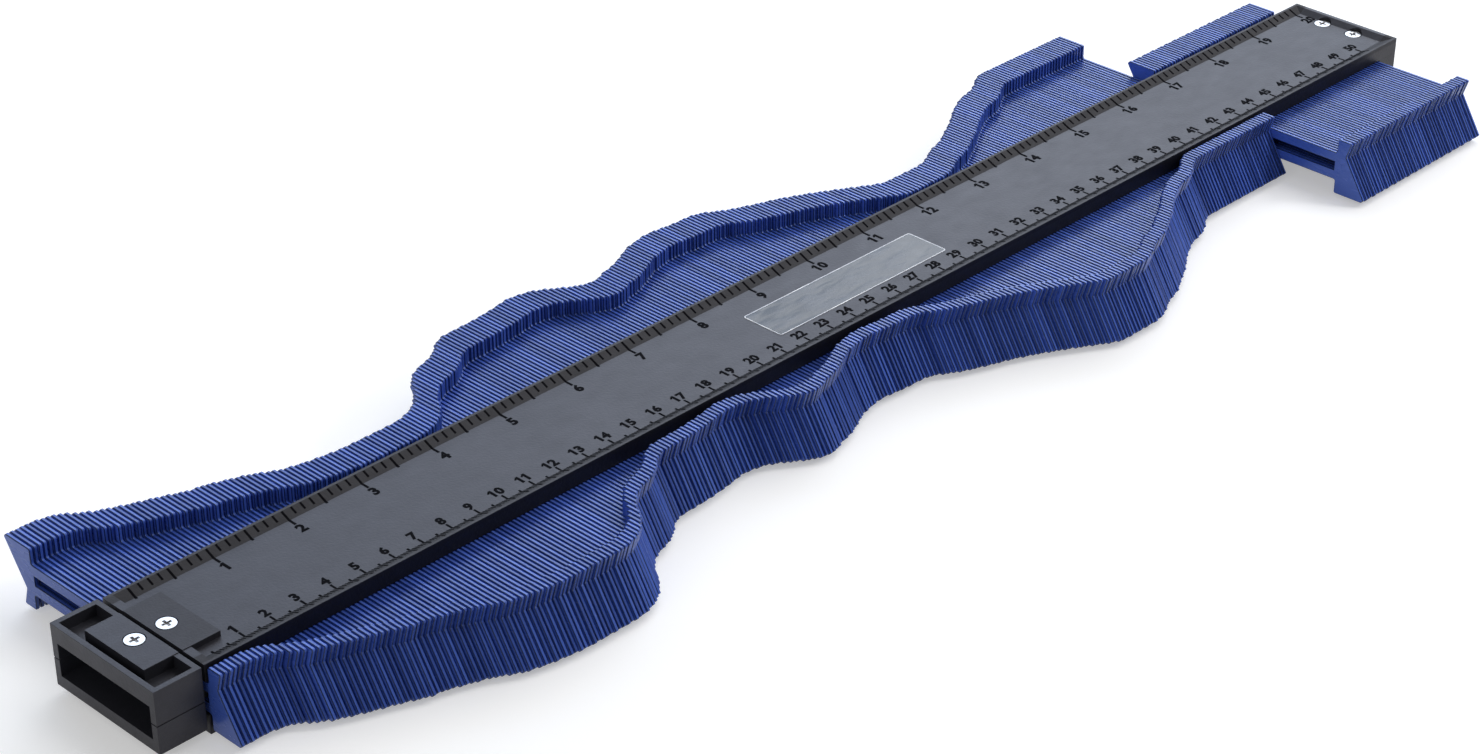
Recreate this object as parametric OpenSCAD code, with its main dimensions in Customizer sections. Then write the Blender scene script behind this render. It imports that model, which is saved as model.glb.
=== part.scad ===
// Contour gauge: a comb of thin sliding blades between two flat rails.
// The upper rail is a ruler, and a coupling block closes the left end.
// Sizes are in millimetres. The origin is the centre of the underside.

/* [Blades] */
// Number of blades in the comb
blade_count = 332; // [40:1:420]
// Thickness of one blade
blade_t = 1.14; // [0.8:0.01:3]
// Running gap between neighbouring blades
blade_gap = 0.4; // [0.05:0.01:0.5]
// Blades that are moved as one set
set_size = 7; // [2:1:14]
// Clear length of the thin web between the two heads
web_len = 76.2; // [60:0.1:120]
// Height of the web
web_h = 9.8; // [6:0.1:16]
// Height of the heads
head_h = 19.6; // [12:0.1:30]
// How far the sensing tip stands out from the head's inner wall
tip_reach = 11.8; // [7:0.1:20]
// How far the small lip stands out from the head's inner wall
lip_reach = 5.2; // [3:0.1:12]
// Thickness of the head at its waist
waist_reach = 3.6; // [2:0.1:8]
// Height of the small lip above the waist
lip_h = 5.7; // [2:0.1:8]
// Corner break at the sensing tip
tip_break = 0.9; // [0.2:0.1:2]
// Corner break on the other edges of the heads
edge_break = 0.4; // [0.1:0.05:1]
// Fillet between the web and the heads' inner walls
root_break = 0.4; // [0.1:0.05:1]
// Height of the slot along the web
slot_h = 3; // [1.5:0.1:6]
// Material left between the slot's end and the head's inner wall
slot_end = 0.7; // [0.3:0.1:4]
// Unevenness left by pushing the blades by hand
scatter = 0.2; // [0:0.05:0.5]
// How far the whole outline stands towards the inch side
comb_shift = 0.9; // [-5:0.1:5]

/* [Rails] */
// Width of both rails
rail_w = 42.5; // [30:0.1:70]
// Thickness of the lower rail
lower_t = 6.1; // [3:0.1:9]
// Thickness of the ruler under its recessed face
floor_t = 3.9; // [2.6:0.1:8]
// Height of the ruler's rim above the recessed face
rim_h = 1.5; // [0.6:0.1:3]
// Flat width on top of the long rims
rim_flat = 0.9; // [0.4:0.1:2]
// Width of the sloping scale faces, rim included
scale_w = 4.25; // [2:0.05:8]
// Width of the rim across the right end
end_rim = 1.5; // [1:0.1:4]
// Width of the slope between that rim and the recessed face
end_slope = 2.3; // [0.2:0.1:5]
// Width of the rim across the left end
left_rim = 2.6; // [1:0.1:5]
// Thickness of the wall that closes the right end
end_wall = 9.5; // [8:0.1:20]
// Running gap above and below the webs
slide_gap = 0.2; // [0.1:0.05:0.6]
// Gap left beside a head when it stops at a rail
stop_gap = 0.3; // [0.1:0.05:1]

/* [Guide spine] */
// Width of the flat bar in the blades' slots
spine_w = 38; // [16:0.5:60]
// Free space above and below the bar in the slots
spine_gap = 0.3; // [0.1:0.05:0.8]
// Depth of the bar's seat at each end
spine_seat = 0.8; // [0.4:0.1:2]

/* [Coupling block] */
// Length of the block
block_len = 14.9; // [10:0.1:30]
// Width of the block
block_w = 43.5; // [32:0.1:72]
// Height of the block's underside above the lower rail's
block_lift = 2.5; // [0:0.1:5]
// Joint between the block and the rails
block_gap = 1.2; // [0.2:0.1:2]
// Side walls of the socket
socket_wall = 2.4; // [1.5:0.1:5]
// Wall behind the socket
socket_back = 2.6; // [2:0.1:5]
// Floor under the socket
socket_floor = 3.7; // [2:0.1:8]
// Roof over the socket, under the pockets beside the screw land
socket_roof = 1.9; // [1:0.1:2.4]
// Rim round the block's upper face
block_rim = 1.7; // [0.8:0.1:4]
// Groove along the parting of the two halves
parting = 0.3; // [0.1:0.1:1]

/* [Screw lands] */
// Height of the raised screw lands
land_h = 1.7; // [0.4:0.1:3]
// Width of the screw lands
land_w = 25; // [12:0.5:40]
// Length of the ruler's screw land from the left end
rail_land = 12; // [9:0.5:30]
// Trench in front of the block's screw land
land_step = 2.4; // [0.5:0.1:5]

/* [Splice plate] */
// Length of the plate that joins block and ruler
splice_len = 18; // [12:0.5:28]
// Width of the splice plate
splice_w = 20; // [10:0.5:36]
// Thickness of the splice plate
splice_t = 2; // [1:0.1:3]
// Free space round a seated piece
seat_gap = 0.05; // [0.02:0.01:0.2]

/* [Screws] */
// Diameter of a screw head
head_d = 5.6; // [4:0.1:8]
// Width of the open ring round a screw head
ring_gap = 0.3; // [0.05:0.05:0.6]
// Depth of that ring as a share of the head's depth
ring_share = 0.3; // [0.05:0.05:0.6]
// Diameter of a screw shank
shank_d = 2.8; // [1.6:0.1:4]
// Spacing of the two splice screws along the gauge
splice_pitch = 10.1; // [7:0.1:16]
// Spacing of the two end wall screws across the gauge
wall_pitch = 13; // [8:0.1:28]
// Distance of the end wall screws from the right end
wall_inset = 5; // [4.4:0.1:9]
// Length of the end wall screws below the recessed face
wall_screw_len = 16.5; // [14:0.5:18]
// Width of the arms of the cross recess
cross_w = 0.8; // [0.4:0.1:1.4]
// Length across the cross recess
cross_len = 3; // [2:0.1:4]
// Depth of the cross recess
cross_depth = 1; // [0.4:0.1:2]

/* [Hidden] */
$fn = 48;
eps = 0.01;
overcut = 1;

// Levels, from the underside up
web_z = lower_t + slide_gap;
mid_z = web_z + web_h / 2;
rail_z = web_z + web_h + slide_gap;
floor_z = rail_z + floor_t;
rim_z = floor_z + rim_h;
land_z = floor_z + land_h;
top_z = max(rim_z, land_z);

// Places along the gauge
pitch = blade_t + blade_gap;
comb_len = blade_count * pitch;
rail_len = comb_len + blade_gap + end_wall;
total_len = block_len + block_gap + rail_len;
right_x = total_len / 2;
rail_x = right_x - rail_len;
block_x = -right_x;
block_end = block_x + block_len;
joint_x = rail_x - block_gap / 2;
wall_x = right_x - end_wall;
wall_screw_x = right_x - wall_inset;

// Places across the blades
wall_y = web_len / 2;
tip_y = wall_y + tip_reach;
lip_y = wall_y + lip_reach;
waist_y = wall_y + waist_reach;
root_reach = max(0, root_break - slide_gap);
travel = (web_len - rail_w) / 2 - root_reach - stop_gap;

spine_t = slot_h - 2 * spine_gap;
head_r = head_d / 2;
shank_r = shank_d / 2;
head_depth = head_r - shank_r;
set_count = ceil(blade_count / set_size);

// The pushed-in outline: distance along the comb, then the blades' offset
outline = [
    [0, 15.5], [8, 15.5], [12, 14.8], [16, 13.6], [20, 10.3], [24, 7.6],
    [32, 4], [40, 1], [48, -2.5], [52, -3], [64, -7.5], [72, -12], [80, -14],
    [88, -15.2], [92, -15.5], [108, -15.5], [112, -15.2], [116, -14],
    [120, -12], [124, -8], [128, -2], [132, 1.6], [136, 3.4], [140, 4.5],
    [144, 6.7], [148, 10.2], [152, 11.8], [164, 12.3], [172, 13.2],
    [180, 14.7], [184, 14.1], [188, 13.3], [192, 11], [196, 8.2], [200, 5.6],
    [204, 4.2], [208, 4.2], [212, 6], [216, 6.8], [220, 8.3], [224, 10.2],
    [228, 12.2], [236, 14], [240, 14.2], [248, 13.2], [256, 13], [260, 12],
    [264, 9.5], [268, 7.2], [276, 4], [284, 1.2], [292, -2.5], [300, -6.8],
    [308, -11.4], [312, -13.8], [316, -15.5], [332, -15.5], [336, -14.8],
    [340, -13], [344, -10.8], [352, -8.3], [356, -6], [364, -1.8], [372, 3.5],
    [380, 7.6], [388, 9.5], [392, 11.5], [396, 14.3], [400, 15.5],
    [441.5, 15.5], [442.5, -15.3], [512, -15.3]
];

// Offset of one blade, kept inside the travel
function limited(v) = max(-travel, min(travel, v));
function uneven(i) = scatter * sin(137 * i);
function outline_at(i) = lookup((i + 0.5) * pitch, outline) + comb_shift;
function offset_of(i) = limited(outline_at(i) + uneven(i));

function set_name(s) = str("blades_", s < 9 ? "0" : "", s + 1);

FRAME = [
    "top_rail", "bottom_rail", "end_wall_block", "end_block_upper",
    "end_block_lower", "guide_spine", "splice_plate", "splice_screws",
    "end_wall_screws"
];

// Outline of the near head, from the web's top round to its underside
near_head = [
    [-wall_y + root_break, web_h / 2],
    [-wall_y, web_h / 2 + root_break],
    [-wall_y, head_h / 2 - edge_break],
    [-wall_y - edge_break, head_h / 2],
    [-lip_y + edge_break, head_h / 2],
    [-lip_y, head_h / 2 - edge_break],
    [-waist_y, head_h / 2 - lip_h],
    [-tip_y, tip_break - head_h / 2],
    [-tip_y + tip_break, -head_h / 2],
    [-wall_y - edge_break, -head_h / 2],
    [-wall_y, edge_break - head_h / 2],
    [-wall_y, -web_h / 2 - root_break],
    [-wall_y + root_break, -web_h / 2]
];

// Draws an outline of the Y and Z axes and sweeps it along X
module along_x(length) {
    rotate([90, 0, 90])
        linear_extrude(length)
            children();
}

// Box given by its low corner and centred across the gauge
module middle_box(x, z, size) {
    translate([x, -size[1] / 2, z])
        cube(size);
}

// The blade is the same when turned half round, so the far head
// is the near head's outline with both signs changed
module blade_outline() {
    difference() {
        polygon(concat(near_head, [for (p = near_head) -p]));
        square([web_len - 2 * slot_end, slot_h], center = true);
    }
}

module blade(i) {
    translate([rail_x + blade_gap + i * pitch, offset_of(i), mid_z])
        along_x(blade_t)
            blade_outline();
}

module blade_set(s) {
    first = s * set_size;
    last = min(first + set_size, blade_count) - 1;
    color("RoyalBlue")
        for (i = [first : last])
            blade(i);
}

// Countersunk screw with its axis down from the head's face at z = 0
module screw(length) {
    difference() {
        union() {
            rotate_extrude()
                polygon([
                    [0, 0],
                    [head_r, 0],
                    [shank_r, -head_depth],
                    [0, -head_depth]
                ]);
            translate([0, 0, -length])
                cylinder(r = shank_r, h = length - head_depth + eps);
        }
        for (turn = [0, 90])
            rotate([0, 0, turn])
                translate([-cross_len / 2, -cross_w / 2, -cross_depth])
                    cube([cross_len, cross_w, cross_depth + overcut]);
    }
}

// Hole for that screw, wider all round by the seat gap, with an open ring
// round the head's upper edge
module screw_hole(length) {
    hole_r = shank_r + seat_gap;
    ring_r = head_r + ring_gap;
    ring_depth = ring_share * head_depth;
    seat_r = head_r + seat_gap - ring_share * (head_r - shank_r);
    sink_h = rim_h + overcut;
    translate([0, 0, -length - seat_gap])
        cylinder(r = hole_r, h = length + seat_gap + sink_h);
    rotate_extrude()
        polygon([
            [0, sink_h],
            [ring_r, sink_h],
            [ring_r, -ring_depth],
            [seat_r, -ring_depth],
            [hole_r, -head_depth],
            [0, -head_depth]
        ]);
}

// Both splice screws stand the same distance from the joint
module at_splice_screws() {
    for (side = [-1, 1])
        translate([joint_x + side * splice_pitch / 2, 0, 0])
            children();
}

module at_wall_screws() {
    for (side = [-1, 1])
        translate([wall_screw_x, side * wall_pitch / 2, floor_z])
            children();
}

splice_screw_len = land_z - rail_z;

module splice_holes() {
    translate([0, 0, land_z])
        at_splice_screws()
            screw_hole(splice_screw_len);
}

// Room for the splice plate, open towards the blades
module splice_pocket() {
    size = [splice_len + 2 * seat_gap, splice_w + 2 * seat_gap, splice_t + seat_gap];
    middle_box(joint_x - size[0] / 2, rail_z, size);
}

// Room for the ends of the guide spine
module spine_pocket() {
    low_x = block_end - spine_seat - seat_gap;
    length = wall_x + spine_seat + seat_gap - low_x;
    size = [length, spine_w + 2 * seat_gap, spine_t + 2 * seat_gap];
    middle_box(low_x, mid_z - size[2] / 2, size);
}

// Ruler section: flat below, sloping scale faces up to the rims
module ruler_outline() {
    edge = rail_w / 2;
    foot = edge - scale_w;
    polygon([
        [-edge, rail_z],
        [edge, rail_z],
        [edge, rim_z],
        [edge - rim_flat, rim_z],
        [foot, floor_z],
        [-foot, floor_z],
        [-edge + rim_flat, rim_z],
        [-edge, rim_z]
    ]);
}

// Slope that leads from the right rim down to the recessed face
module end_ramp() {
    foot = right_x - end_rim - end_slope;
    translate([0, rail_w / 2, 0])
        rotate([90, 0, 0])
            linear_extrude(rail_w)
                polygon([
                    [foot, floor_z],
                    [right_x, floor_z],
                    [right_x, rim_z],
                    [right_x - end_rim, rim_z]
                ]);
}

module top_rail() {
    color("DimGray")
        difference() {
            union() {
                translate([rail_x, 0, 0])
                    along_x(rail_len)
                        ruler_outline();
                end_ramp();
                middle_box(rail_x, rail_z, [left_rim, rail_w, rim_z - rail_z]);
                middle_box(rail_x, rail_z, [rail_land, land_w, land_z - rail_z]);
            }
            middle_box(rail_x - overcut, land_z, [left_rim + 2 * overcut, land_w, overcut]);
            splice_holes();
            splice_pocket();
            at_wall_screws()
                screw_hole(wall_screw_len);
        }
}

module bottom_rail() {
    color("Gray")
        difference() {
            middle_box(rail_x, 0, [rail_len, rail_w, lower_t]);
            at_wall_screws()
                screw_hole(wall_screw_len);
        }
}

// Block that keeps the rails apart and closes the right end
module end_wall_block() {
    color("LightSlateGray")
        difference() {
            middle_box(wall_x, lower_t, [end_wall, rail_w, rail_z - lower_t]);
            spine_pocket();
            at_wall_screws()
                screw_hole(wall_screw_len);
        }
}

// Outside of the coupling block between two levels
module block_shell(low_z, high_z) {
    middle_box(block_x, low_z, [block_len, block_w, high_z - low_z]);
}

// The socket opens to the left and reaches across both halves
module socket() {
    depth = block_len - socket_back;
    low_z = block_lift + socket_floor;
    size = [depth + overcut, block_w - 2 * socket_wall, rail_z - low_z];
    middle_box(block_x - overcut, low_z, size);
}

// Shallow groove round the outside, half of it in each half of the block
module parting_groove() {
    difference() {
        middle_box(
            block_x - overcut,
            mid_z - parting / 2,
            [block_len + 2 * overcut, block_w + 2 * overcut, parting]
        );
        middle_box(
            block_x + parting,
            mid_z - parting,
            [block_len - 2 * parting, block_w - 2 * parting, 2 * parting]
        );
    }
}

// Deep recess in the block's upper face
module block_recess() {
    low_z = rail_z + socket_roof;
    size = [block_len - 2 * block_rim, block_w - 2 * block_rim, top_z - low_z + overcut];
    middle_box(block_x + block_rim, low_z, size);
}

// Screw land that stands in the recess and reaches the end at the joint
module block_land() {
    low_x = block_x + block_rim + land_step;
    middle_box(low_x, rail_z, [block_end - low_x, land_w, land_z - rail_z]);
}

// Room above the land, where the rim is higher than the land
module above_land() {
    low_x = block_x + block_rim + land_step;
    middle_box(low_x, land_z, [block_len, land_w, rim_h + overcut]);
}

module end_block_upper() {
    color("SlateGray")
        difference() {
            union() {
                difference() {
                    block_shell(mid_z, rim_z);
                    block_recess();
                }
                block_land();
            }
            above_land();
            socket();
            parting_groove();
            splice_holes();
            splice_pocket();
            spine_pocket();
        }
}

module end_block_lower() {
    color("DarkSlateGray")
        difference() {
            block_shell(block_lift, mid_z);
            socket();
            parting_groove();
            spine_pocket();
        }
}

module guide_spine() {
    low_x = block_end - spine_seat;
    length = wall_x + spine_seat - low_x;
    color("Silver")
        middle_box(low_x, mid_z - spine_t / 2, [length, spine_w, spine_t]);
}

module splice_plate() {
    color("Gainsboro")
        difference() {
            middle_box(joint_x - splice_len / 2, rail_z, [splice_len, splice_w, splice_t]);
            splice_holes();
        }
}

module splice_screws() {
    color("LightSteelBlue")
        translate([0, 0, land_z])
            at_splice_screws()
                screw(splice_screw_len);
}

module end_wall_screws() {
    color("LightSteelBlue")
        at_wall_screws()
            screw(wall_screw_len);
}

top_rail();
bottom_rail();
end_wall_block();
end_block_upper();
end_block_lower();
guide_spine();
splice_plate();
splice_screws();
end_wall_screws();
for (s = [0 : set_count - 1])
    blade_set(s);
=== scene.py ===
"""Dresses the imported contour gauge: finishes, scale marks, label film, light and camera."""

import math
from typing import NamedTuple

import bmesh
import bpy
from bpy.props import FloatProperty, FloatVectorProperty, IntProperty, PointerProperty
from bpy.types import Operator, Panel, PropertyGroup
from mathutils import Euler, Matrix, Vector


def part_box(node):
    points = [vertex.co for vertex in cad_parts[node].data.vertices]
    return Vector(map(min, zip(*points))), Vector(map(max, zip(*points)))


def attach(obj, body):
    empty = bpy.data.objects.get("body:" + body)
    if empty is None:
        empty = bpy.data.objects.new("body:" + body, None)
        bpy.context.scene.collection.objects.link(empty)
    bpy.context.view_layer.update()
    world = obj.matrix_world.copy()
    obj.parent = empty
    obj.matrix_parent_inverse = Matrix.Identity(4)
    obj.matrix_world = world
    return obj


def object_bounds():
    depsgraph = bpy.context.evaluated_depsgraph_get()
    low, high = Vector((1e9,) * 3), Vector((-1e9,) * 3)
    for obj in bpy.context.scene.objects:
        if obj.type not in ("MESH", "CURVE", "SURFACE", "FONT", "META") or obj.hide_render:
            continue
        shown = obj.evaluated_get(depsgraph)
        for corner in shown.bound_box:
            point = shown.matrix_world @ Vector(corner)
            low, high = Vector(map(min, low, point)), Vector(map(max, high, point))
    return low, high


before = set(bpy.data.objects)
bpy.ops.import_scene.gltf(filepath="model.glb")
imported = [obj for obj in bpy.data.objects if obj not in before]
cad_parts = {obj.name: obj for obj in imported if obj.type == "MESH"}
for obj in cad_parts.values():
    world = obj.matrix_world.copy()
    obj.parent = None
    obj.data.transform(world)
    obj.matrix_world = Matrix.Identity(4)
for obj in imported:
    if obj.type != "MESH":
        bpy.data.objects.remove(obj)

bl_info = {
    "name": "Contour gauge looks",
    "version": (1, 0, 0),
    "blender": (4, 5, 0),
    "location": "3D View > Sidebar > Gauge",
    "description": "Finishes, scale marks, label film and studio of a contour gauge",
    "category": "Object",
}

MM = 0.001
INCH = 25.4 * MM
CAD_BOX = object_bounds()
RULER_LOW, RULER_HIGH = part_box("top_rail")
HOUSING = "housing"
BLADE_SETS = sorted(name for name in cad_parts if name.startswith("blades_"))
BLACK_NODES = ["top_rail", "bottom_rail", "end_wall_block", "end_block_upper", "end_block_lower"]
SCREW_NODES = ["splice_screws", "end_wall_screws"]

# Rounding of the solids' edges
CORNER_JOIN = 1e-6
FLAT_ANGLE = math.radians(1)
EDGE_ANGLE = math.radians(25)
EDGE_STEPS = 2

# How much of a blade's tone is its own, and how matt rims and screw land are beside the scale faces; the
# rims also share their painted shade
TONE_SHARE = 0.7
RIM_MATT_AND_SHADE = 0.5
LAND_MATT = 0.5
MATT_ROUGHNESS = 0.2

# Where the masks of the finishes begin
LAND_TOP_SHARE = 0.6
BLADE_SKIN = 0.02 * MM
RAIL_SKIN = 0.1 * MM

# Second tone of a finish, as a share of its colour
PALE_MARKS = 2.2
DULL_STEEL = 0.86
CLOUDY_FILM_SHEEN = 5
SOFT_FLOOR = 0.985

# How far a mark's tail reaches into the slope
TAIL_OVERLAP = 0.2 * MM

# Digits in the font: their height as a share of its size, and their spacing
FONT_DIGIT = 0.7
DIGIT_SPACING = 1.02

# Digits and the slanting top stroke of a one, in shares of a digit's height
DIGIT_BOLDNESS = 0.065
DIGIT_STEP = 0.73
FLAG_LEFT = 0.17
FLAG_UP = 0.84
FLAG_LENGTH = 0.44
FLAG_WIDTH = 0.18

# That stroke's height as a share of the marks' rise, and its slant
FLAG_RISE = 0.9
FLAG_SLANT = math.radians(40)

# Studio
FLOOR_REACH = 30.0
FLOOR_DROP = 0.05 * MM
SENSOR_WIDTH = 36.0


class Scale(NamedTuple):
    """How one scale is marked.

    A mark is its start and its length on the slope, in shares of the slope's length. Widths are shares of
    the usual mark width. Tails run on over the recessed face, and the numbers keep a gap to its edge.
    """

    side: int
    unit: float
    parts: int
    long_mark: tuple
    short_mark: tuple
    long_width: float
    short_width: float
    tail_width: float
    whole_tail: float
    half_tail: float
    digit_gap: float


CENTIMETRES = Scale(
    side=-1, unit=10 * MM, parts=10, long_mark=(0.04, 0.96), short_mark=(0.4, 0.6), long_width=1.3,
    short_width=0.9, tail_width=1.5, whole_tail=2.4 * MM, half_tail=0.9 * MM, digit_gap=3.1 * MM)
INCHES = Scale(
    side=1, unit=INCH, parts=8, long_mark=(0.04, 0.96), short_mark=(0.04, 0.66), long_width=1.6,
    short_width=1.45, tail_width=1.8, whole_tail=2.7 * MM, half_tail=0.6 * MM, digit_gap=3.3 * MM)


class GaugeSizes(PropertyGroup):
    """Sizes of the marks, edges and film that the looks add to the solids."""

    blade_edge: FloatProperty(
        name="Blade edge", description="Rounding of the blades' edges",
        default=0.3 * MM, min=0.02 * MM, max=0.5 * MM, unit="LENGTH", precision=5)
    housing_edge: FloatProperty(
        name="Housing edge", description="Rounding of the moulded housing's edges",
        default=0.22 * MM, min=0.02 * MM, max=0.6 * MM, unit="LENGTH", precision=5)
    screw_edge: FloatProperty(
        name="Screw edge", description="Rounding of the screw heads and their cross recesses",
        default=0.12 * MM, min=0.02 * MM, max=0.3 * MM, unit="LENGTH", precision=5)
    blade_pitch: FloatProperty(
        name="Blade pitch", description="Spacing of the blades along the gauge",
        default=1.54 * MM, min=0.8 * MM, max=4 * MM, unit="LENGTH", precision=5)
    blade_gap: FloatProperty(
        name="Blade gap", description="Open gap between neighbouring blades",
        default=0.4 * MM, min=0.05 * MM, max=0.5 * MM, unit="LENGTH", precision=5)
    land_height: FloatProperty(
        name="Land height", description="Height of the ruler's screw land above its recessed face",
        default=1.7 * MM, min=0.4 * MM, max=3 * MM, unit="LENGTH", precision=5)
    rim_height: FloatProperty(
        name="Rim height", description="Height of the ruler's rim above its recessed face",
        default=1.5 * MM, min=0.5 * MM, max=3 * MM, unit="LENGTH", precision=5)
    rim_flat: FloatProperty(
        name="Rim flat", description="Flat width on top of the ruler's long rims",
        default=0.9 * MM, min=0.3 * MM, max=2 * MM, unit="LENGTH", precision=5)
    scale_width: FloatProperty(
        name="Scale width", description="Width of a sloping scale face with its rim",
        default=4.25 * MM, min=2 * MM, max=8 * MM, unit="LENGTH", precision=5)
    cm_zero: FloatProperty(
        name="Centimetre zero", description="Distance of the centimetre zero from the ruler's left end",
        default=6.05 * MM, min=0, max=20 * MM, unit="LENGTH", precision=5)
    inch_zero: FloatProperty(
        name="Inch zero", description="Distance of the inch zero from the ruler's left end",
        default=7.23 * MM, min=0, max=20 * MM, unit="LENGTH", precision=5)
    mark_width: FloatProperty(
        name="Mark width", description="Width of a scale mark",
        default=0.42 * MM, min=0.1 * MM, max=0.8 * MM, unit="LENGTH", precision=5)
    mark_rise: FloatProperty(
        name="Mark rise", description="How far marks and digits stand out of the ruler",
        default=0.06 * MM, min=0.02 * MM, max=0.3 * MM, unit="LENGTH", precision=5)
    cm_digit: FloatProperty(
        name="Centimetre digit", description="Height of the centimetre digits",
        default=3.2 * MM, min=1 * MM, max=6 * MM, unit="LENGTH", precision=5)
    inch_digit: FloatProperty(
        name="Inch digit", description="Height of the inch digits",
        default=3.5 * MM, min=1 * MM, max=6 * MM, unit="LENGTH", precision=5)
    film_low: FloatVectorProperty(
        name="Film low corner", description="Left near corner of the label film",
        default=(-30.4 * MM, -9.0 * MM), size=2, unit="LENGTH", precision=5)
    film_high: FloatVectorProperty(
        name="Film high corner", description="Right far corner of the label film",
        default=(43.7 * MM, 6.7 * MM), size=2, unit="LENGTH", precision=5)
    film_thickness: FloatProperty(
        name="Film thickness", description="Thickness of the label film",
        default=0.12 * MM, min=0.03 * MM, max=0.5 * MM, unit="LENGTH", precision=5)
    film_border: FloatProperty(
        name="Film border", description="Width of the paler edge of the label film",
        default=0.3 * MM, min=0.05 * MM, max=1 * MM, unit="LENGTH", precision=5)
    film_corner: FloatProperty(
        name="Film corner", description="Radius of the label film's corners",
        default=1 * MM, min=0.2 * MM, max=3 * MM, unit="LENGTH", precision=5)
    film_corner_steps: IntProperty(
        name="Film corner steps", description="Flat steps in each corner of the label film",
        default=5, min=1, max=16)


class GaugeColours(PropertyGroup):
    """Colours of the gauge's finishes and of the studio."""

    blade_dark: FloatVectorProperty(
        name="Darkest blade", description="Blue of the darkest blades",
        default=(0.033, 0.073, 0.345), size=3, subtype="COLOR", min=0, max=1)
    blade_light: FloatVectorProperty(
        name="Lightest blade", description="Blue of the lightest blades",
        default=(0.078, 0.158, 0.625), size=3, subtype="COLOR", min=0, max=1)
    # Painted shade: the deeper blue painted on each blade's rounded edge beside its gap.
    blade_shade: FloatVectorProperty(
        name="Blade edge", description="Deep blue of the rounded edge beside each gap",
        default=(0.006, 0.016, 0.080), size=3, subtype="COLOR", min=0, max=1)
    blade_sheen: FloatVectorProperty(
        name="Blade sheen", description="Tint of the light that the blades mirror",
        default=(0.76, 0.90, 1.0), size=3, subtype="COLOR", min=0, max=1)
    housing_dark: FloatVectorProperty(
        name="Housing", description="Black of the moulded housing",
        default=(0.020, 0.021, 0.027), size=3, subtype="COLOR", min=0, max=1)
    housing_light: FloatVectorProperty(
        name="Housing bloom", description="Slightly paler black where the grain is rubbed",
        default=(0.030, 0.031, 0.039), size=3, subtype="COLOR", min=0, max=1)
    housing_sheen: FloatVectorProperty(
        name="Housing sheen", description="Tint of the light that the housing mirrors",
        default=(0.96, 0.92, 1.0), size=3, subtype="COLOR", min=0, max=1)
    # Painted shade on the scale faces and rims, whose matt grain is real; the screw land takes half of it
    # as its own blacker tone.
    scale_face: FloatVectorProperty(
        name="Scale face", description="Black of the two matt scale faces",
        default=(0.013, 0.013, 0.014), size=3, subtype="COLOR", min=0, max=1)
    # Painted shade: the blacker colour painted on the rails' upright long sides.
    rail_side: FloatVectorProperty(
        name="Rail side", description="Deep black of the rails' long sides",
        default=(0.006, 0.006, 0.008), size=3, subtype="COLOR", min=0, max=1)
    spine_dark: FloatVectorProperty(
        name="Spine", description="Dark grey of the bar inside the slots",
        default=(0.030, 0.030, 0.033), size=3, subtype="COLOR", min=0, max=1)
    spine_light: FloatVectorProperty(
        name="Spine bloom", description="Slightly paler grey of that bar",
        default=(0.045, 0.045, 0.049), size=3, subtype="COLOR", min=0, max=1)
    marks: FloatVectorProperty(
        name="Marks", description="Black of the scale marks and digits",
        default=(0.002, 0.002, 0.003), size=3, subtype="COLOR", min=0, max=1)
    steel: FloatVectorProperty(
        name="Steel", description="Zinc plating of the screws",
        default=(0.70, 0.70, 0.71), size=3, subtype="COLOR", min=0, max=1)
    film: FloatVectorProperty(
        name="Film", description="Dark grey under the clear label film",
        default=(0.012, 0.013, 0.016), size=3, subtype="COLOR", min=0, max=1)
    # Painted highlight: the paler colour painted on the label film's cut edge and border.
    film_edge: FloatVectorProperty(
        name="Film edge", description="Paler cut edge of the label film",
        default=(0.55, 0.56, 0.60), size=3, subtype="COLOR", min=0, max=1)
    floor: FloatVectorProperty(
        name="Floor", description="White of the studio's floor",
        default=(0.78, 0.78, 0.78), size=3, subtype="COLOR", min=0, max=1)
    floor_bounce: FloatVectorProperty(
        name="Floor bounce", description="Grey of the floor in the light that it throws on the gauge",
        default=(0.50, 0.50, 0.52), size=3, subtype="COLOR", min=0, max=1)


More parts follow.
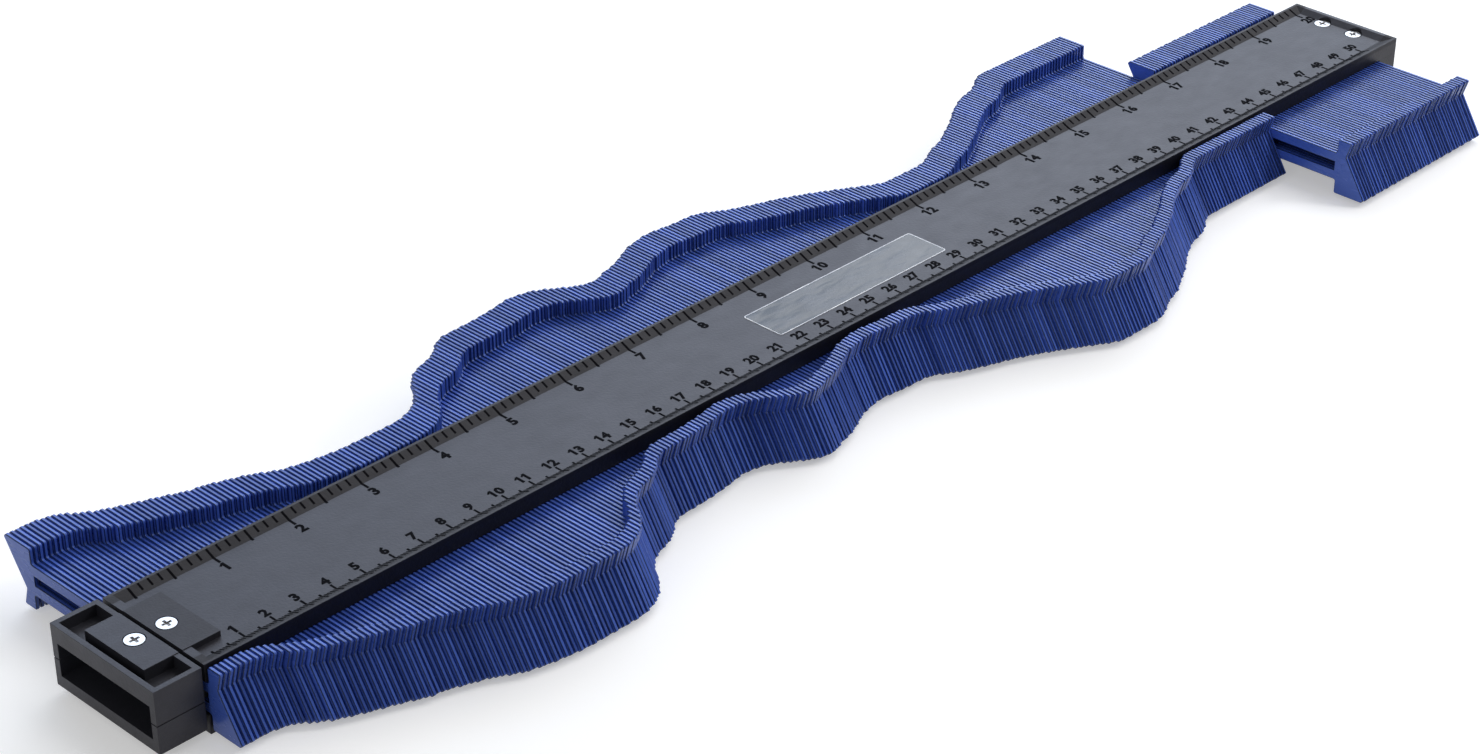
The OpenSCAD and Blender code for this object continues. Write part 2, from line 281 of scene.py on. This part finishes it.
class GaugeStudio(PropertyGroup):
    """Camera and lamps of the studio."""

    camera_place: FloatVectorProperty(
        name="Camera place", description="Where the camera stands",
        default=(-631.05 * MM, -577.17 * MM, 494.63 * MM), size=3, subtype="TRANSLATION", unit="LENGTH")
    camera_turn: FloatVectorProperty(
        name="Camera turn", description="How the camera is turned",
        default=tuple(math.radians(a) for a in (59.4157, 0.062, -45.7858)), size=3, subtype="EULER")
    camera_lens: FloatProperty(
        name="Camera lens", description="Focal length of the camera in millimetres",
        default=78.62, min=20, max=200)
    key_place: FloatVectorProperty(
        name="Key place", description="Where the large soft lamp hangs, above on the right",
        default=(1.10, 0.20, 1.35), size=3, subtype="TRANSLATION", unit="LENGTH")
    key_size: FloatVectorProperty(
        name="Key size", description="Width and height of the large soft lamp",
        default=(2.0, 1.6), size=2, unit="LENGTH")
    key_power: FloatProperty(
        name="Key power", description="Power of the large soft lamp",
        default=20.0, min=0, max=200, subtype="POWER")
    sheen_place: FloatVectorProperty(
        name="Sheen place", description="Where the wide lamp stands whose sheen lies on the level faces",
        default=(0.98, 1.36, 1.00), size=3, subtype="TRANSLATION", unit="LENGTH")
    sheen_size: FloatVectorProperty(
        name="Sheen size", description="Width and height of that wide lamp",
        default=(2.4, 1.4), size=2, unit="LENGTH")
    sheen_colour: FloatVectorProperty(
        name="Sheen colour", description="Cool white of that wide lamp",
        default=(0.66, 0.79, 1.0), size=3, subtype="COLOR", min=0, max=1)
    sheen_power: FloatProperty(
        name="Sheen power", description="Power of that wide lamp",
        default=23.0, min=0, max=200, subtype="POWER")
    glint_place: FloatVectorProperty(
        name="Glint place", description="Where the small lamp hangs that rounded inner corners mirror",
        default=(1.13, -0.88, 1.04), size=3, subtype="TRANSLATION", unit="LENGTH")
    glint_size: FloatVectorProperty(
        name="Glint size", description="Width and height of the small lamp",
        default=(0.3, 0.3), size=2, unit="LENGTH")
    glint_power: FloatProperty(
        name="Glint power", description="Power of the small lamp",
        default=6.0, min=0, max=200, subtype="POWER")
    fill_place: FloatVectorProperty(
        name="Fill place", description="Where the weak lamp on the left stands",
        default=(-1.60, -0.10, 0.80), size=3, subtype="TRANSLATION", unit="LENGTH")
    fill_size: FloatVectorProperty(
        name="Fill size", description="Width and height of the weak lamp on the left",
        default=(1.0, 1.0), size=2, unit="LENGTH")
    fill_power: FloatProperty(
        name="Fill power", description="Power of the weak lamp on the left",
        default=3.5, min=0, max=200, subtype="POWER")
    room_level: FloatProperty(
        name="Room level", description="Even light of the room on the gauge",
        default=0.25, min=0, max=1)
    floor_glow: FloatProperty(
        name="Floor glow", description="White that the eye sees in the floor beyond the light on it",
        default=0.38, min=0, max=1)
    floor_near: FloatProperty(
        name="Floor near", description="Distance up to which the floor has that glow alone",
        default=0.35, min=0.1, max=2, unit="LENGTH")
    floor_far: FloatProperty(
        name="Floor far", description="Distance at which the floor is wholly white",
        default=1.6, min=0.5, max=6, unit="LENGTH")


def sizes():
    """Sizes of the looks, as the panel shows them."""
    return bpy.context.scene.gauge_sizes


def colours():
    """Colours of the looks, as the panel shows them."""
    return bpy.context.scene.gauge_colours


def studio():
    """Values of the studio, as the panel shows them."""
    return bpy.context.scene.gauge_studio


def floor_level():
    """Height of the ruler's recessed face."""
    return RULER_HIGH.z - sizes().land_height


def rim_level():
    """Height of the ruler's rims."""
    return floor_level() + sizes().rim_height


def ramp_foot():
    """Distance from the gauge's middle line to the foot of a sloping scale face."""
    return RULER_HIGH.y - sizes().scale_width


def slope_length():
    """Length of a sloping scale face from its rim down to its foot."""
    return math.hypot(sizes().scale_width - sizes().rim_flat, sizes().rim_height)


# Materials


class Finish:
    """A node material with its shader at hand."""

    def __init__(self, name):
        self.material = bpy.data.materials.new(name)
        self.material.use_nodes = True
        self.tree = self.material.node_tree
        self.shader = self.tree.nodes["Principled BSDF"]

    def node(self, kind, **inputs):
        """A new node with some of its inputs set or linked."""
        made = self.tree.nodes.new(kind)
        for key, value in inputs.items():
            self.feed(made.inputs[key], value)
        return made

    def feed(self, socket, value):
        """Links a socket to another one, or sets its constant."""
        if isinstance(value, bpy.types.NodeSocket):
            self.tree.links.new(value, socket)
        else:
            socket.default_value = value

    def set(self, **inputs):
        """Sets or links inputs of the shader, with underscores for spaces in their names."""
        for key, value in inputs.items():
            self.feed(self.shader.inputs[key.replace("_", " ")], value)

    def place(self):
        """The point in the gauge's own frame, in metres."""
        return self.tree.nodes.new("ShaderNodeTexCoord").outputs["Object"]

    def axes(self):
        """That point's X, Y and Z."""
        return self.node("ShaderNodeSeparateXYZ", Vector=self.place()).outputs

    def stretched(self, scale):
        """That point with each axis scaled by itself."""
        mapping = self.node("ShaderNodeMapping", Vector=self.place())
        mapping.inputs["Scale"].default_value = scale
        return mapping.outputs["Vector"]

    def noise(self, vector, scale=1.0, detail=3.0, roughness=0.55):
        """Cloudy values around one half."""
        made = self.node("ShaderNodeTexNoise", Vector=vector, Scale=scale, Detail=detail)
        made.inputs["Roughness"].default_value = roughness
        return made.outputs["Fac"]

    def math(self, operation, a, b=0.0, c=0.0):
        """The result of one step of arithmetic."""
        made = self.tree.nodes.new("ShaderNodeMath")
        made.operation = operation
        for socket, value in zip(made.inputs, (a, b, c)):
            self.feed(socket, value)
        return made.outputs[0]

    def both(self, first, *more):
        """One where all of the given masks are one."""
        for mask in more:
            first = self.math("MULTIPLY", first, mask)
        return first

    def between(self, value, low, high):
        """A value from 0 to 1 brought between low and high."""
        made = self.node("ShaderNodeMapRange", Value=value)
        made.inputs["From Min"].default_value = 0.0
        made.inputs["From Max"].default_value = 1.0
        made.inputs["To Min"].default_value = low
        made.inputs["To Max"].default_value = high
        return made.outputs["Result"]

    def blend(self, share, low, high):
        """A colour that goes from low to high as the share goes from 0 to 1."""
        made = self.tree.nodes.new("ShaderNodeMix")
        made.data_type = "RGBA"
        for key, value in (("Factor", share), ("A", low), ("B", high)):
            self.feed(made.inputs[key], value)
        return made.outputs["Result"]

    def ramp(self, value, *stops):
        """A colour that follows the value between two stops of position and colour."""
        made = self.node("ShaderNodeValToRGB", Fac=value)
        band = made.color_ramp
        for stop, (position, colour) in zip(band.elements, stops):
            stop.position = position
            stop.color = (*colour, 1)
        return made.outputs["Color"]

    def bump(self, height, strength, distance):
        """Makes the surface uneven by a height from 0 to 1."""
        made = self.node("ShaderNodeBump", Height=height)
        made.inputs["Strength"].default_value = strength
        made.inputs["Distance"].default_value = distance
        self.feed(self.shader.inputs["Normal"], made.outputs["Normal"])


def blue_blade_finish():
    """Satin blue plastic: each blade has its own tone, and the rounded edge beside its gap is painted a
    deeper blue as painted shade.
    """
    finish = Finish("blue_blade_plastic")
    place = finish.place()
    pitch, margin = sizes().blade_pitch, 0.5 * sizes().blade_gap
    left = RULER_LOW.x + margin
    count = finish.math("MULTIPLY_ADD", finish.axes()["X"], 1 / pitch, -left / pitch)
    tone = finish.tree.nodes.new("ShaderNodeTexWhiteNoise")
    tone.noise_dimensions = "1D"
    finish.feed(tone.inputs["W"], finish.math("FLOOR", count))
    cloud = finish.math("MULTIPLY", finish.noise(place, scale=160.0), 1 - TONE_SHARE)
    mixed = finish.math("MULTIPLY_ADD", tone.outputs["Value"], TONE_SHARE, cloud)
    body = finish.ramp(mixed, (0.1, colours().blade_dark), (0.9, colours().blade_light))
    # The rounded edge that each blade turns to its gap gets a deeper blue: painted shade.
    within = finish.math("MULTIPLY", finish.math("FRACT", count), pitch)
    after = finish.math("GREATER_THAN", within, margin + BLADE_SKIN)
    before = finish.math("LESS_THAN", within, margin + sizes().blade_edge)
    finish.set(Base_Color=finish.blend(finish.both(after, before), body, (*colours().blade_shade, 1)))
    rub = finish.noise(finish.stretched((900.0, 90.0, 260.0)), detail=4.0, roughness=0.6)
    finish.set(Roughness=finish.between(rub, low=0.20, high=0.34))
    finish.bump(finish.noise(place, scale=2600.0, detail=2.0), strength=0.10, distance=0.12 * MM)
    finish.set(IOR=1.5, Specular_Tint=(*colours().blade_sheen, 1))
    return finish.material


def scale_face_mask(finish):
    """One on the ruler's two sloping scale faces, and less on their rims: how matt they are, and how much
    painted shade darkens them.
    """
    axes = finish.axes()
    side = finish.math("ABSOLUTE", axes["Y"])
    inner = finish.math("GREATER_THAN", side, ramp_foot())
    rim = finish.math("GREATER_THAN", side, RULER_HIGH.y - sizes().rim_flat)
    across = finish.math("MULTIPLY_ADD", rim, RIM_MATT_AND_SHADE - 1, inner)
    above = finish.math("GREATER_THAN", axes["Z"], floor_level())
    along = finish.math("GREATER_THAN", axes["X"], RULER_LOW.x)
    return finish.both(across, above, along)


def screw_land_mask(finish):
    """One on the top of the ruler's raised screw land, a little blacker than the recessed face."""
    axes = finish.axes()
    step = sizes().land_height - sizes().rim_height
    above = finish.math("GREATER_THAN", axes["Z"], RULER_HIGH.z - LAND_TOP_SHARE * step)
    along = finish.math("GREATER_THAN", axes["X"], RULER_LOW.x)
    return finish.both(above, along)


def rail_side_mask(finish):
    """One on the upright long sides of the rails, which are painted blacker than the top as painted
    shade.
    """
    axes = finish.axes()
    outer = finish.math("GREATER_THAN", finish.math("ABSOLUTE", axes["Y"]), RULER_HIGH.y - RAIL_SKIN)
    below = finish.math("LESS_THAN", axes["Z"], rim_level() - sizes().housing_edge)
    along = finish.math("GREATER_THAN", axes["X"], RULER_LOW.x)
    return finish.both(outer, below, along)


def black_housing_finish():
    """Black moulded plastic with a fine spark-eroded grain, a little paler where it is rubbed."""
    finish = Finish("black_grained_plastic")
    place = finish.place()
    cloud = finish.noise(place, scale=55.0, detail=5.0, roughness=0.62)
    smooth = finish.ramp(cloud, (0.35, colours().housing_dark), (0.75, colours().housing_light))
    land = finish.math("MULTIPLY", screw_land_mask(finish), LAND_MATT)
    # The scale faces and rims get a darker black as painted shade, beside their real matt roughness.
    matt = finish.math("MAXIMUM", scale_face_mask(finish), land)
    top = finish.blend(matt, smooth, (*colours().scale_face, 1))
    # The rails' long sides are painted blacker: painted shade.
    finish.set(Base_Color=finish.blend(rail_side_mask(finish), top, (*colours().rail_side, 1)))
    rub = finish.noise(finish.stretched((120.0, 240.0, 240.0)), detail=5.0, roughness=0.6)
    polish = finish.between(rub, low=0.36, high=0.52)
    finish.set(Roughness=finish.math("MULTIPLY_ADD", matt, MATT_ROUGHNESS, polish))
    finish.bump(finish.noise(place, scale=1100.0), strength=0.30, distance=0.20 * MM)
    finish.set(IOR=1.5, Specular_IOR_Level=0.38, Specular_Tint=(*colours().housing_sheen, 1))
    return finish.material


def grey_spine_finish():
    """Plain dark plastic of the bar inside the slots."""
    finish = Finish("dark_spine_plastic")
    place = finish.place()
    cloud = finish.noise(place, scale=80.0, detail=4.0)
    finish.set(Base_Color=finish.ramp(cloud, (0.3, colours().spine_dark), (0.7, colours().spine_light)))
    finish.set(Roughness=finish.between(finish.noise(place, scale=400.0), low=0.45, high=0.6))
    return finish.material


def mark_finish():
    """Black of the moulded scale marks and digits."""
    finish = Finish("black_scale_marks")
    cloud = finish.noise(finish.place(), scale=900.0)
    deep = tuple(colours().marks)
    pale = tuple(PALE_MARKS * c for c in deep)
    finish.set(Base_Color=finish.ramp(cloud, (0.3, deep), (0.8, pale)))
    finish.set(Roughness=finish.between(cloud, low=0.55, high=0.75))
    finish.set(Specular_IOR_Level=0.02)
    return finish.material


def steel_finish():
    """Bright zinc plating with a soft, cloudy polish."""
    finish = Finish("zinc_plated_steel")
    place = finish.place()
    cloud = finish.noise(place, scale=700.0, detail=4.0)
    pale = tuple(colours().steel)
    dull = tuple(DULL_STEEL * c for c in pale)
    finish.set(Base_Color=finish.ramp(cloud, (0.3, dull), (0.7, pale)))
    finish.set(Roughness=finish.between(cloud, low=0.22, high=0.36))
    finish.set(Metallic=1.0)
    finish.bump(finish.noise(place, scale=1600.0, detail=2.0), strength=0.05, distance=0.1 * MM)
    return finish.material


def film_finish(name, colour):
    """Smooth clear film over the black ruler, wavy, with paler clouds in its colour as painted sheen."""
    finish = Finish(name)
    wave = finish.noise(finish.stretched((70.0, 160.0, 100.0)), detail=2.0, roughness=0.5)
    deep = tuple(colour)
    # The paler clouds in the colour are painted sheen; the same waves drive the real roughness and bumps.
    pale = tuple(min(1.0, CLOUDY_FILM_SHEEN * c) for c in deep)
    finish.set(Base_Color=finish.ramp(wave, (0.45, deep), (0.72, pale)))
    finish.set(Roughness=finish.between(wave, low=0.06, high=0.40))
    finish.bump(wave, strength=0.35, distance=1 * MM)
    finish.set(IOR=1.52, Specular_IOR_Level=0.42)
    return finish.material


def seen_rays(tree):
    """One for the rays that show the white studio: seen straight, mirrored or through glass."""
    path = tree.nodes.new("ShaderNodeLightPath")
    seen = path.outputs["Is Camera Ray"]
    for ray in ("Is Glossy Ray", "Is Transmission Ray"):
        more = tree.nodes.new("ShaderNodeMath")
        more.operation = "MAXIMUM"
        tree.links.new(seen, more.inputs[0])
        tree.links.new(path.outputs[ray], more.inputs[1])
        seen = more.outputs[0]
    return seen


# Shared steps


def wear(name, material, edge):
    """Gives a solid its finish and rounds its edges without touching its mesh."""
    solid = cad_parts[name]
    solid.data.materials.clear()
    solid.data.materials.append(material)
    weld = solid.modifiers.new("join_corners", "WELD")
    weld.merge_threshold = CORNER_JOIN
    flat = solid.modifiers.new("whole_faces", "DECIMATE")
    flat.decimate_type = "DISSOLVE"
    flat.angle_limit = FLAT_ANGLE
    soft = solid.modifiers.new("rounded_edges", "BEVEL")
    soft.width = edge
    soft.segments = EDGE_STEPS
    soft.limit_method = "ANGLE"
    soft.angle_limit = EDGE_ANGLE
    soft.use_clamp_overlap = True


def piece_from(name, shape, material):
    """Makes a finished piece on the housing from a bmesh."""
    mesh = bpy.data.meshes.new(name)
    bmesh.ops.recalc_face_normals(shape, faces=shape.faces)
    shape.to_mesh(mesh)
    shape.free()
    piece = bpy.data.objects.new(name, mesh)
    bpy.context.scene.collection.objects.link(piece)
    mesh.materials.append(material)
    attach(piece, HOUSING)
    return piece


def add_bar(shape, middle, size, turn=None):
    """Adds one flat bar of a scale to a bmesh."""
    place = Matrix.Translation(middle)
    if turn is not None:
        place = place @ turn
    bmesh.ops.create_cube(shape, size=1.0, matrix=place @ Matrix.Diagonal((*size, 1.0)))


def add_ramp_mark(shape, x, side, start, length, width):
    """A mark on a sloping scale face. Start and length run down the slope from the rim."""
    s = sizes()
    run, fall = s.scale_width - s.rim_flat, s.rim_height
    down = Vector((0, -side * run, -fall)) / slope_length()
    top = Vector((x, side * (RULER_HIGH.y - s.rim_flat), rim_level()))
    middle = top + down * (start + length / 2)
    turn = Matrix.Rotation(side * math.atan2(fall, run), 4, "X")
    add_bar(shape, middle, (width, length, 2 * s.mark_rise), turn)


def add_floor_mark(shape, x, side, length, width):
    """The tail of a mark, which runs on from the slope's foot over the recessed face."""
    middle = Vector((x, side * (ramp_foot() - length / 2 + TAIL_OVERLAP / 2), floor_level()))
    add_bar(shape, middle, (width, length + TAIL_OVERLAP, 2 * sizes().mark_rise))


def add_flag(shape, x, y, height):
    """Adds the slanting top stroke of a figure one, whose stem stands at x with its foot at y."""
    middle = (x - FLAG_LEFT * height, y + FLAG_UP * height, floor_level())
    size = (FLAG_LENGTH * height, FLAG_WIDTH * height, 2 * FLAG_RISE * sizes().mark_rise)
    add_bar(shape, middle, size, Matrix.Rotation(FLAG_SLANT, 4, "Z"))


def add_number(shape, text, x, y, height):
    """Adds a number, centred at x with its foot at y, to a bmesh."""
    letters = bpy.data.curves.new("number", "FONT")
    letters.body = text
    letters.align_x = "CENTER"
    letters.size = height / FONT_DIGIT
    letters.space_character = DIGIT_SPACING
    letters.resolution_u = 2
    letters.extrude = sizes().mark_rise
    letters.offset = DIGIT_BOLDNESS * height
    holder = bpy.data.objects.new("number", letters)
    bpy.context.scene.collection.objects.link(holder)
    bpy.context.view_layer.update()
    ready = holder.evaluated_get(bpy.context.evaluated_depsgraph_get())
    mesh = bpy.data.meshes.new_from_object(ready)
    mesh.transform(Matrix.Translation((x, y, floor_level())))
    shape.from_mesh(mesh)
    bpy.data.objects.remove(holder)
    bpy.data.curves.remove(letters)
    bpy.data.meshes.remove(mesh)
    middle = (len(text) - 1) / 2
    for index, figure in enumerate(text):
        if figure == "1":
            add_flag(shape, x + (index - middle) * DIGIT_STEP * height, y, height)


def add_marks(shape, scale, zero, last):
    """Adds all marks of a scale, from its zero to its last number, to a bmesh."""
    slope, width = slope_length(), sizes().mark_width
    for step in range(scale.parts * last + 1):
        x = zero + step * scale.unit / scale.parts
        whole, half = step % scale.parts == 0, step % (scale.parts // 2) == 0
        start, length = scale.long_mark if half else scale.short_mark
        breadth = scale.long_width if half else scale.short_width
        add_ramp_mark(shape, x, scale.side, start * slope, length * slope, breadth * width)
        if half:
            tail = scale.whole_tail if whole and step else scale.half_tail
            add_floor_mark(shape, x, scale.side, tail, scale.tail_width * width)


def add_scale(name, scale, zero, last, foot, digit):
    """Makes one scale of the ruler, its marks and its numbers, as one piece."""
    shape = bmesh.new()
    add_marks(shape, scale, zero, last)
    for number in range(1, last + 1):
        add_number(shape, str(number), zero + number * scale.unit, foot, digit)
    material = bpy.data.materials.get("black_scale_marks") or mark_finish()
    piece_from(name, shape, material)


# Operators


class GAUGE_OT_dress_blades(Operator):
    """Gives every set of blades its blue finish and rounded edges"""

    bl_idname = "gauge.dress_blades"
    bl_label = "Dress blades"

    def execute(self, context):
        material = blue_blade_finish()
        for name in BLADE_SETS:
            wear(name, material, sizes().blade_edge)
        return {"FINISHED"}


class GAUGE_OT_dress_housing(Operator):
    """Gives the rails, the end wall and the coupling block their black grained finish"""

    bl_idname = "gauge.dress_housing"
    bl_label = "Dress housing"

    def execute(self, context):
        material = black_housing_finish()
        for name in BLACK_NODES:
            wear(name, material, sizes().housing_edge)
        wear("guide_spine", grey_spine_finish(), sizes().housing_edge)
        return {"FINISHED"}


class GAUGE_OT_dress_screws(Operator):
    """Gives the screws and the splice plate their zinc plating"""

    bl_idname = "gauge.dress_screws"
    bl_label = "Dress screws"

    def execute(self, context):
        material = steel_finish()
        for name in SCREW_NODES:
            wear(name, material, sizes().screw_edge)
        wear("splice_plate", material, sizes().screw_edge)
        return {"FINISHED"}


class GAUGE_OT_centimetre_scale(Operator):
    """Adds the millimetre and centimetre marks and their numbers along the near side"""

    bl_idname = "gauge.centimetre_scale"
    bl_label = "Centimetre scale"

    last: IntProperty(
        name="Last centimetre", description="Highest number on the scale", default=50, min=1, max=99)

    def execute(self, context):
        s = sizes()
        foot = -ramp_foot() + CENTIMETRES.digit_gap
        add_scale(
            "centimetre_scale", CENTIMETRES, RULER_LOW.x + s.cm_zero, self.last, foot, s.cm_digit)
        return {"FINISHED"}


class GAUGE_OT_inch_scale(Operator):
    """Adds the inch marks and their numbers along the far side"""

    bl_idname = "gauge.inch_scale"
    bl_label = "Inch scale"

    last: IntProperty(
        name="Last inch", description="Highest number on the scale", default=20, min=1, max=99)

    def execute(self, context):
        s = sizes()
        foot = ramp_foot() - INCHES.digit_gap - s.inch_digit
        add_scale("inch_scale", INCHES, RULER_LOW.x + s.inch_zero, self.last, foot, s.inch_digit)
        return {"FINISHED"}


class GAUGE_OT_label_film(Operator):
    """Lays the bare label film on the ruler's recessed face"""

    bl_idname = "gauge.label_film"
    bl_label = "Label film"

    def execute(self, context):
        s = sizes()
        low, high = Vector(s.film_low), Vector(s.film_high)
        middle, span = (low + high) / 2, high - low
        shape = bmesh.new()
        centre = (middle.x, middle.y, floor_level() + s.film_thickness / 2)
        add_bar(shape, centre, (span.x, span.y, s.film_thickness))
        rise = 0.5 * s.film_thickness
        upright = [e for e in shape.edges if abs(e.verts[0].co.z - e.verts[1].co.z) > rise]
        bmesh.ops.bevel(
            shape, geom=upright, offset=s.film_corner, offset_type="OFFSET", affect="EDGES",
            segments=s.film_corner_steps, profile=0.5, material=-1)
        top = floor_level() + 0.9 * s.film_thickness
        upper = [f for f in shape.faces if min(v.co.z for v in f.verts) > top]
        # The film's border and sides take the paler edge colour as a painted highlight.
        for face in shape.faces:
            face.material_index = 1
        bmesh.ops.inset_region(shape, faces=upper, thickness=s.film_border, use_even_offset=True)
        for face in upper:
            face.material_index = 0
        film = piece_from(
            "label_film", shape, film_finish("bare_label_film", colours().film))
        film.data.materials.append(film_finish("label_film_painted_highlight", colours().film_edge))
        return {"FINISHED"}


class GAUGE_OT_set_stage(Operator):
    """Sets the pale floor, the even light of the room, the soft lamps and the camera"""

    bl_idname = "gauge.set_stage"
    bl_label = "Set stage"

    def execute(self, context):
        self.floor()
        self.room()
        light = studio()
        self.lamp("key_lamp", light.key_place, light.key_size, light.key_power)
        self.lamp(
            "sheen_lamp", light.sheen_place, light.sheen_size, light.sheen_power, light.sheen_colour)
        self.lamp("glint_lamp", light.glint_place, light.glint_size, light.glint_power)
        self.lamp("fill_lamp", light.fill_place, light.fill_size, light.fill_power)
        self.camera()
        context.scene.view_settings.view_transform = "Standard"
        return {"FINISHED"}

    def floor(self):
        """The white floor, just under the gauge."""
        shape = bmesh.new()
        bmesh.ops.create_grid(shape, x_segments=1, y_segments=1, size=FLOOR_REACH)
        bmesh.ops.translate(shape, vec=(0, 0, CAD_BOX[0].z - FLOOR_DROP), verts=shape.verts)
        mesh = bpy.data.meshes.new("floor")
        shape.to_mesh(mesh)
        shape.free()
        floor = bpy.data.objects.new("floor", mesh)
        bpy.context.scene.collection.objects.link(floor)
        finish = Finish("pale_floor")
        cloud = finish.noise(finish.place(), scale=3.0)
        pale = tuple(colours().floor)
        soft = tuple(SOFT_FLOOR * c for c in pale)
        white = finish.ramp(cloud, (0.3, soft), (0.7, pale))
        seen = seen_rays(finish.tree)
        finish.set(Base_Color=finish.blend(seen, (*colours().floor_bounce, 1), white))
        finish.set(Roughness=0.9, Specular_IOR_Level=0.0)
        finish.set(Emission_Color=(1, 1, 1, 1))
        finish.set(Emission_Strength=finish.math("MULTIPLY", seen, self.glow(finish)))
        mesh.materials.append(finish.material)

    def glow(self, finish):
        """The floor's own white, which grows with the distance from the gauge."""
        light = studio()
        away = finish.tree.nodes.new("ShaderNodeVectorMath")
        away.operation = "LENGTH"
        finish.feed(away.inputs[0], finish.place())
        reach = light.floor_far - light.floor_near
        share = finish.math("MULTIPLY_ADD", away.outputs["Value"], 1 / reach, -light.floor_near / reach)
        inside = finish.node("ShaderNodeClamp", Value=share).outputs["Result"]
        return finish.between(inside, light.floor_glow, 1.0)

    def room(self):
        """The even light of the room."""
        world = bpy.data.worlds.new("white_room")
        bpy.context.scene.world = world
        world.use_nodes = True
        back = world.node_tree.nodes["Background"]
        back.inputs["Color"].default_value = (1, 1, 1, 1)
        back.inputs["Strength"].default_value = studio().room_level

    def lamp(self, name, place, size, power, colour=(1, 1, 1)):
        """A soft lamp that faces the middle of the gauge."""
        light = bpy.data.lights.new(name, "AREA")
        light.shape = "RECTANGLE"
        light.size, light.size_y = size
        light.energy = power
        light.color = colour
        lamp = bpy.data.objects.new(name, light)
        lamp.location = place
        lamp.rotation_euler = (-lamp.location).to_track_quat("-Z", "Y").to_euler()
        bpy.context.scene.collection.objects.link(lamp)

    def camera(self):
        """The camera, which looks along the ruler from its near left end."""
        view = bpy.data.cameras.new("camera")
        view.sensor_width = SENSOR_WIDTH
        view.lens = studio().camera_lens
        camera = bpy.data.objects.new("camera", view)
        camera.location = studio().camera_place
        camera.rotation_euler = Euler(studio().camera_turn)
        bpy.context.scene.collection.objects.link(camera)
        bpy.context.scene.camera = camera


class GAUGE_PT_looks(Panel):
    """Lists the steps and values of the gauge's looks"""

    bl_idname = "GAUGE_PT_looks"
    bl_label = "Contour gauge"
    bl_space_type = "VIEW_3D"
    bl_region_type = "UI"
    bl_category = "Gauge"

    def draw(self, context):
        for step in STEPS:
            self.layout.operator(step.bl_idname)
        for group in (sizes(), colours(), studio()):
            box = self.layout.box()
            for name in group.__annotations__:
                box.prop(group, name)


STEPS = (
    GAUGE_OT_set_stage,
    GAUGE_OT_dress_blades,
    GAUGE_OT_dress_housing,
    GAUGE_OT_dress_screws,
    GAUGE_OT_centimetre_scale,
    GAUGE_OT_inch_scale,
    GAUGE_OT_label_film,
)
GROUPS = (GaugeSizes, GaugeColours, GaugeStudio)


def register():
    for group in (*GROUPS, *STEPS, GAUGE_PT_looks):
        bpy.utils.register_class(group)
    bpy.types.Scene.gauge_sizes = PointerProperty(type=GaugeSizes)
    bpy.types.Scene.gauge_colours = PointerProperty(type=GaugeColours)
    bpy.types.Scene.gauge_studio = PointerProperty(type=GaugeStudio)


def unregister():
    del bpy.types.Scene.gauge_studio
    del bpy.types.Scene.gauge_colours
    del bpy.types.Scene.gauge_sizes
    for group in reversed((*GROUPS, *STEPS, GAUGE_PT_looks)):
        bpy.utils.unregister_class(group)


def main():
    """Dresses the gauge step by step."""
    register()
    bpy.ops.gauge.set_stage()
    bpy.ops.gauge.dress_blades()
    bpy.ops.gauge.dress_housing()
    bpy.ops.gauge.dress_screws()
    bpy.ops.gauge.centimetre_scale()
    bpy.ops.gauge.inch_scale()
    bpy.ops.gauge.label_film()


if __name__ == "__main__":
    main()
